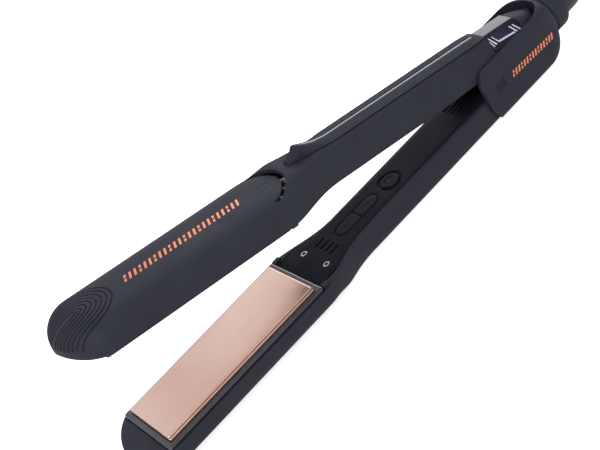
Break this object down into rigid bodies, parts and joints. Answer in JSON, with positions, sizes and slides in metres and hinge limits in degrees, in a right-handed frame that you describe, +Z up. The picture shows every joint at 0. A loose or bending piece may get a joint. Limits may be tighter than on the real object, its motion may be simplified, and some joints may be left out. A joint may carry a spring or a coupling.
{
  "type": "flat iron",
  "caption": "Hair straightener with two hinged arms, floating rose-gold plates, push buttons, a display at the hinge, a ribbed grip and a swivel cord outlet.",
  "frame": {"origin": "on the housing's flat rest face, directly below the middle of the hinge pin", "axes": "+X from the arm tips towards the cord, +Y across the arms along the hinge pin, +Z up from the lower arm's plate to the upper arm"},
  "size_m": [0.4199, 0.0492, 0.0957],
  "materials": {
    "casing": "soft-touch matte charcoal",
    "grip": "ribbed soft grip",
    "bezel": "glossy heat-resistant plastic",
    "rose_gold": "polished rose-gold coated plate",
    "lens": "clear smoked display cover",
    "display": "display glass",
    "light": "clear light guide",
    "steel": "plain steel",
    "ceramic": "white heater ceramic",
    "bead": "glass bead",
    "board": "circuit board",
    "cable": "rubbery cable and boot",
    "sleeve": "braided glass sleeve"
  },
  "bodies": {
    "lower_arm": {"lower_outer_shell": "casing", "lower_inner_panel": "casing", "lower_bezel": "bezel", "lower_panel_screw_a": "steel", "lower_panel_screw_b": "steel", "lower_plate_spring": "steel", "lower_heater_leads": "sleeve", "control_board": "board", "power_switch": "steel", "plus_switch": "steel", "minus_switch": "steel", "hinge_housing": "casing", "hinge_pin": "steel", "hinge_spring": "steel", "crossover_lead": "sleeve"},
    "upper_arm": {"upper_outer_shell": "casing", "upper_inner_panel": "casing", "upper_bezel": "bezel", "upper_panel_screw_a": "steel", "upper_panel_screw_b": "steel", "upper_plate_spring": "steel", "upper_heater_leads": "sleeve", "vent_grille": "casing", "grip_insert": "grip", "grip_strip": "bezel", "display_lens": "lens", "lcd_module": "display", "display_board": "board", "light_guide": "light", "hinge_bracket": "steel"},
    "lower_plate": {"lower_heating_plate": "rose_gold", "lower_heater": "ceramic", "lower_heater_clamp": "steel", "lower_thermistor": "bead", "lower_thermal_fuse": "steel"},
    "upper_plate": {"upper_heating_plate": "rose_gold", "upper_heater": "ceramic", "upper_heater_clamp": "steel", "upper_thermistor": "bead", "upper_thermal_fuse": "steel"},
    "power_button": {"power_button": "casing"},
    "plus_key": {"plus_key": "casing"},
    "minus_key": {"minus_key": "casing"},
    "cord": {"cord_swivel": "casing", "strain_relief": "cable", "power_cord": "cable"}
  },
  "joints": [
    {"name": "arm_hinge", "type": "hinge", "parent": "lower_arm", "child": "upper_arm", "pos_m": [0, 0, 0.0222], "axis": [0, 1, 0], "range_deg": [-12.2, 0], "stiffness_Nm_per_rad": 1.5, "deforming": ["hinge_spring", "crossover_lead"]},
    {"name": "lower_plate_float", "type": "slide", "parent": "lower_arm", "child": "lower_plate", "axis": [0, 0, -1], "range_m": [0, 0.0008], "stiffness_N_per_m": 4000, "deforming": ["lower_plate_spring"]},
    {"name": "upper_plate_float", "type": "slide", "parent": "upper_arm", "child": "upper_plate", "axis": [0.2114, 0, 0.9774], "range_m": [0, 0.0008], "stiffness_N_per_m": 4000, "deforming": ["upper_plate_spring"]},
    {"name": "power_press", "type": "slide", "parent": "lower_arm", "child": "power_button", "axis": [0, 0, -1], "range_m": [0, 0.0005], "stiffness_N_per_m": 150},
    {"name": "plus_press", "type": "slide", "parent": "lower_arm", "child": "plus_key", "axis": [0, 0, -1], "range_m": [0, 0.0005], "stiffness_N_per_m": 150},
    {"name": "minus_press", "type": "slide", "parent": "lower_arm", "child": "minus_key", "axis": [0, 0, -1], "range_m": [0, 0.0005], "stiffness_N_per_m": 150},
    {"name": "cord_turn", "type": "hinge", "parent": "lower_arm", "child": "cord", "pos_m": [0.05, 0, 0.0222], "axis": [1, 0, 0], "continuous": true}
  ]
}
